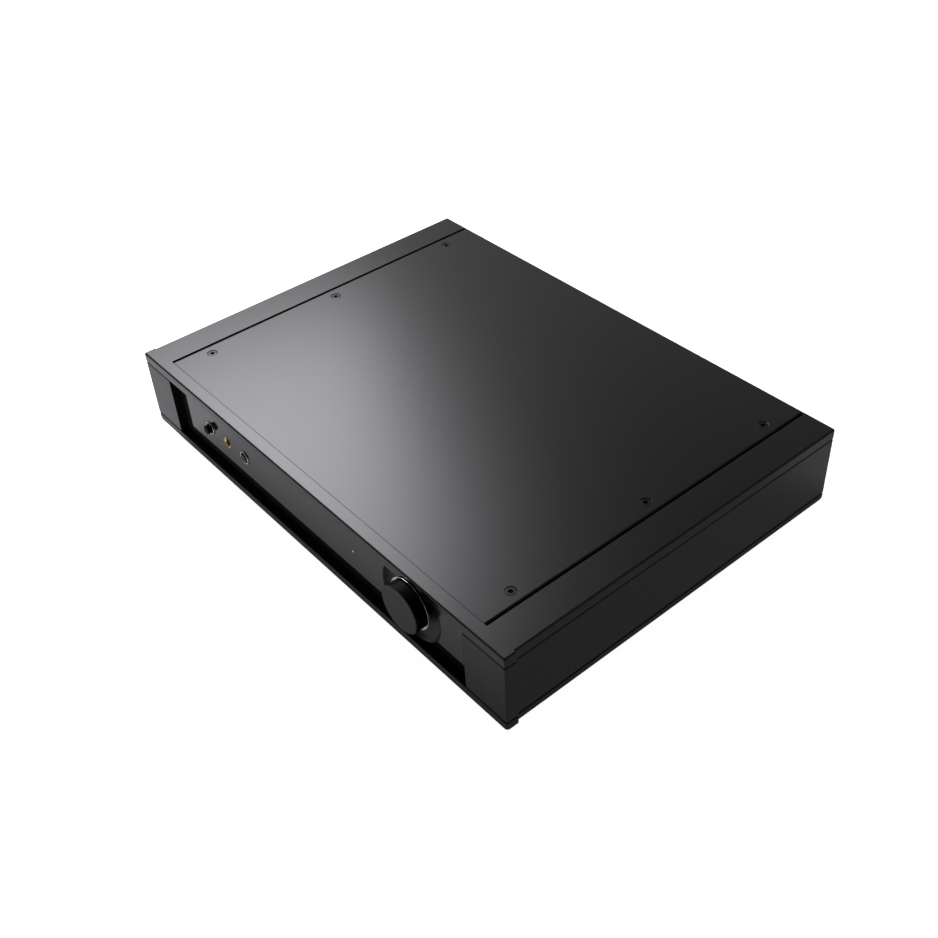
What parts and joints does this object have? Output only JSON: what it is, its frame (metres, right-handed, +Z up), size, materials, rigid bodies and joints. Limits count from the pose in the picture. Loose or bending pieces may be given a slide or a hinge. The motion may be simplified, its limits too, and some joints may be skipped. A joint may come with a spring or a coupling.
{
  "type": "integrated amplifier",
  "caption": "Slim full-width black amplifier: layered flat case, slotted top, recessed front with buttons, headphone socket and a volume knob in a dished well, sockets behind.",
  "frame": {"origin": "on the ground, under the middle of the overall width and depth", "axes": "+X along the front to the viewer's right, +Y from the front to the back, +Z up"},
  "size_m": [0.43, 0.3394, 0.08],
  "materials": {
    "case_black": "black, finely textured, satin",
    "chassis_black": "black powder coat, satin",
    "panel_black": "smooth black, semi-gloss",
    "knob_black": "black, matt",
    "silver": "bright silver ring",
    "gold": "gold plated, satin",
    "steel": "plain steel",
    "screw_black": "blackened steel",
    "plastic": "black moulded plastic",
    "cap_red": "clear-coated red",
    "board_green": "green circuit board",
    "sink_aluminium": "plain extruded metal",
    "winding": "yellow taped winding round an iron core",
    "sleeve": "dark shrink sleeve",
    "rubber": "matt black",
    "lens": "clear, pale"
  },
  "bodies": {
    "case": {"upper_frame": "case_black", "top_cover": "case_black", "left_side_panel": "case_black", "right_side_panel": "case_black", "base_tray": "chassis_black", "rear_panel": "chassis_black", "inner_front_panel": "panel_black", "knob_well": "panel_black", "power_button_ring": "silver", "selector_button_ring": "silver", "headphone_nut": "gold", "volume_pot": "steel", "transformer_clamp": "steel", "transformer_bolt": "steel", "cover_screw_1": "screw_black", "cover_screw_2": "screw_black", "cover_screw_3": "screw_black", "cover_screw_4": "screw_black", "cover_screw_5": "screw_black", "cover_screw_6": "screw_black", "headphone_socket": "plastic", "power_switch": "plastic", "selector_switch": "plastic", "volume_motor": "plastic", "bridge_rectifier": "plastic", "mains_inlet": "plastic", "line_sockets_1": "plastic", "line_sockets_2": "plastic", "speaker_terminal_1": "plastic", "speaker_terminal_2": "plastic", "speaker_terminal_3": "plastic", "speaker_terminal_4": "plastic", "output_transistor_1": "plastic", "output_transistor_2": "plastic", "output_transistor_3": "plastic", "output_transistor_4": "plastic", "main_board": "board_green", "control_board": "board_green", "left_heat_sink": "sink_aluminium", "right_heat_sink": "sink_aluminium", "transformer": "winding", "reservoir_capacitor_1": "sleeve", "reservoir_capacitor_2": "sleeve", "transformer_pad": "rubber", "foot_front_left": "rubber", "foot_front_right": "rubber", "foot_rear_left": "rubber", "foot_rear_right": "rubber", "status_light": "lens", "remote_window": "lens"},
    "volume_control": {"volume_knob": "knob_black", "knob_ring": "silver", "volume_shaft": "steel"},
    "power_key": {"power_button": "knob_black"},
    "selector_key": {"selector_button": "knob_black"},
    "fuse_carrier": {"fuse_drawer": "plastic"},
    "terminal_cap_1": {"speaker_cap_1": "plastic"},
    "terminal_cap_2": {"speaker_cap_2": "cap_red"},
    "terminal_cap_3": {"speaker_cap_3": "plastic"},
    "terminal_cap_4": {"speaker_cap_4": "cap_red"}
  },
  "joints": [
    {"name": "volume_turn", "type": "hinge", "parent": "case", "child": "volume_control", "pos_m": [0.1252, -0.15965, 0.0586], "axis": [0, 1, 0], "range_deg": [-150, 150]},
    {"name": "power_press", "type": "slide", "parent": "case", "child": "power_key", "axis": [0, 1, 0], "range_m": [0, 0.0025], "stiffness_N_per_m": 600, "springref_m": -0.002},
    {"name": "selector_press", "type": "slide", "parent": "case", "child": "selector_key", "axis": [0, 1, 0], "range_m": [0, 0.001], "stiffness_N_per_m": 1200, "springref_m": -0.001},
    {"name": "fuse_drawer_slide", "type": "slide", "parent": "case", "child": "fuse_carrier", "axis": [0, 1, 0], "range_m": [0, 0.016]},
    {"name": "terminal_cap_1_turn", "type": "hinge", "parent": "case", "child": "terminal_cap_1", "pos_m": [0.196, 0.15165, 0.0327], "axis": [0, 1, 0], "range_deg": [-720, 0]},
    {"name": "terminal_cap_2_turn", "type": "hinge", "parent": "case", "child": "terminal_cap_2", "pos_m": [0.177, 0.15165, 0.0327], "axis": [0, 1, 0], "range_deg": [-720, 0]},
    {"name": "terminal_cap_3_turn", "type": "hinge", "parent": "case", "child": "terminal_cap_3", "pos_m": [0.151, 0.15165, 0.0327], "axis": [0, 1, 0], "range_deg": [-720, 0]},
    {"name": "terminal_cap_4_turn", "type": "hinge", "parent": "case", "child": "terminal_cap_4", "pos_m": [0.132, 0.15165, 0.0327], "axis": [0, 1, 0], "range_deg": [-720, 0]}
  ]
}
